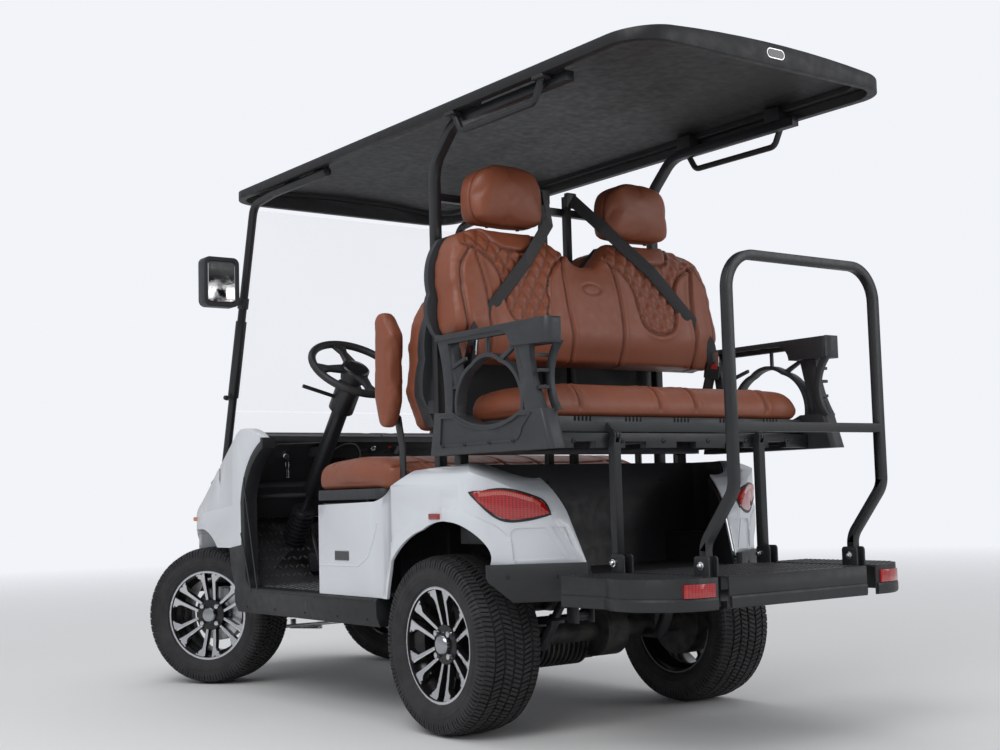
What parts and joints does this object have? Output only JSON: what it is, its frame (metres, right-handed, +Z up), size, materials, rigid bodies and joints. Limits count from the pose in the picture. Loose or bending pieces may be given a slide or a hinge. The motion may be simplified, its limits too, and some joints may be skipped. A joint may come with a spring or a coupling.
{
  "type": "golf cart",
  "caption": "Four-seat golf cart with two forward seats, a flip-down rearward seat, a roof on posts and steered front wheels.",
  "frame": {"origin": "on the ground, in the middle of the bounding box", "axes": "+Z up, the front faces -Y, +X is the driver side"},
  "size_m": [1.404, 3.1896, 1.942],
  "materials": {
    "alloy": "machined faces with black recesses",
    "axle_iron": "rough cast housing",
    "bare_steel": "plated steel",
    "black_trim": "grained black moulding",
    "clear": "clear sheet",
    "dark_steel": "satin black powder coat",
    "grey_shell": "grained dark grey moulding",
    "grip": "soft moulded grip",
    "lamp_clear": "clear lamp lens",
    "lamp_red": "red lamp lens",
    "mat": "treaded rubber",
    "tan_leather": "tan upholstery with stitched panels",
    "tyre": "matte tread and sidewalls",
    "webbing": "woven belt",
    "white_body": "gloss white moulding"
  },
  "bodies": {
    "chassis": {"front_suspension": "dark_steel", "steering_column": "dark_steel", "rear_axle": "axle_iron", "rear_suspension": "dark_steel", "frame": "dark_steel", "floor_pan": "dark_steel", "floor_mat": "mat", "door_surrounds": "black_trim", "battery_pack": "black_trim", "pedals": "dark_steel", "front_cowl": "white_body", "headlamps": "lamp_clear", "front_bumper": "black_trim", "dash": "grey_shell", "rear_wings": "white_body", "tail_lamps": "lamp_red", "bag_well": "black_trim", "corner_bumpers": "black_trim", "side_lamps": "lamp_red", "seat_box": "black_trim", "rear_posts": "dark_steel", "screen_posts": "dark_steel", "windscreen": "clear", "mirrors": "grey_shell", "roof": "grey_shell", "assist_handles": "black_trim", "rear_back_pad": "tan_leather", "front_back_pad": "tan_leather", "back_shells": "grey_shell", "head_rests": "tan_leather", "rear_seat_frame": "dark_steel", "rear_armrests": "grey_shell", "footrest_frame": "dark_steel", "footrest_covers": "black_trim", "grab_bar": "dark_steel", "seat_belts": "webbing"},
    "knuckle_left": {"knuckle_left": "bare_steel"},
    "knuckle_right": {"knuckle_right": "bare_steel"},
    "wheel_front_left": {"tyre_front_left": "tyre", "rim_front_left": "alloy"},
    "wheel_front_right": {"tyre_front_right": "tyre", "rim_front_right": "alloy"},
    "wheel_rear_left": {"tyre_rear_left": "tyre", "rim_rear_left": "alloy"},
    "wheel_rear_right": {"tyre_rear_right": "tyre", "rim_rear_right": "alloy"},
    "pitman_arm": {"pitman_arm": "bare_steel"},
    "centre_link": {"centre_link": "bare_steel"},
    "steering_wheel": {"steering_wheel": "grip"},
    "front_seat": {"front_seat_base": "grey_shell", "front_seat_cushion": "tan_leather"},
    "rear_seat": {"rear_seat_deck": "grey_shell", "rear_seat_cushion": "tan_leather"},
    "armrest_left": {"front_armrest_left": "tan_leather"},
    "armrest_right": {"front_armrest_right": "tan_leather"}
  },
  "joints": [
    {"name": "rear_wheel_left_spin", "type": "hinge", "parent": "chassis", "child": "wheel_rear_left", "pos_m": [0.475, 0.61525, 0.265], "axis": [1, 0, 0], "continuous": true},
    {"name": "rear_wheel_right_spin", "type": "hinge", "parent": "chassis", "child": "wheel_rear_right", "pos_m": [-0.475, 0.61525, 0.265], "axis": [1, 0, 0], "continuous": true},
    {"name": "steer_left", "type": "hinge", "parent": "chassis", "child": "knuckle_left", "pos_m": [0.376, -1.14675, 0.265], "axis": [0, 0, 1], "range_deg": [-68, 2]},
    {"name": "steer_right", "type": "hinge", "parent": "chassis", "child": "knuckle_right", "pos_m": [-0.376, -1.14675, 0.265], "axis": [0, 0, 1], "range_deg": [-68.5, 2.5]},
    {"name": "front_wheel_left_spin", "type": "hinge", "parent": "knuckle_left", "child": "wheel_front_left", "pos_m": [0.45903, -1.09283, 0.265], "axis": [0.8387, 0.5446, 0], "continuous": true},
    {"name": "front_wheel_right_spin", "type": "hinge", "parent": "knuckle_right", "child": "wheel_front_right", "pos_m": [-0.45903, -1.20067, 0.265], "axis": [0.8387, 0.5446, 0], "continuous": true},
    {"name": "pitman_pivot", "type": "hinge", "parent": "chassis", "child": "pitman_arm", "pos_m": [0.1, -1.14675, 0.195], "axis": [0, 0, 1], "range_deg": [-68.5, 2.5]},
    {"name": "centre_link_pivot", "type": "hinge", "parent": "knuckle_left", "child": "centre_link", "pos_m": [0.31064, -1.04611, 0.196], "axis": [0, 0, 1], "range_deg": [-2.5, 68.5]},
    {"name": "steering_wheel_turn", "type": "hinge", "parent": "chassis", "child": "steering_wheel", "pos_m": [0.29, -0.28475, 1.174], "axis": [0, 0.6225, 0.7826], "range_deg": [-1092, 36]},
    {"name": "rear_seat_flip", "type": "hinge", "parent": "chassis", "child": "rear_seat", "pos_m": [0, 1.13325, 0.862], "axis": [-1, 0, 0], "range_deg": [0, 178]},
    {"name": "front_seat_tip", "type": "hinge", "parent": "chassis", "child": "front_seat", "pos_m": [0, -0.10275, 0.696], "axis": [1, 0, 0], "range_deg": [0, 60]},
    {"name": "front_armrest_left_fold", "type": "hinge", "parent": "chassis", "child": "armrest_left", "pos_m": [0.525, 0.32725, 0.948], "axis": [-1, 0, 0], "range_deg": [-95, 0]},
    {"name": "front_armrest_right_fold", "type": "hinge", "parent": "chassis", "child": "armrest_right", "pos_m": [-0.525, 0.32725, 0.948], "axis": [-1, 0, 0], "range_deg": [-95, 0]}
  ],
  "couplings": [
    {"joint": "steer_right", "follows": "steer_left", "ratio": 1},
    {"joint": "pitman_pivot", "follows": "steer_left", "ratio": 1},
    {"joint": "centre_link_pivot", "follows": "steer_left", "ratio": -1},
    {"joint": "steering_wheel_turn", "follows": "steer_left", "ratio": 16}
  ]
}
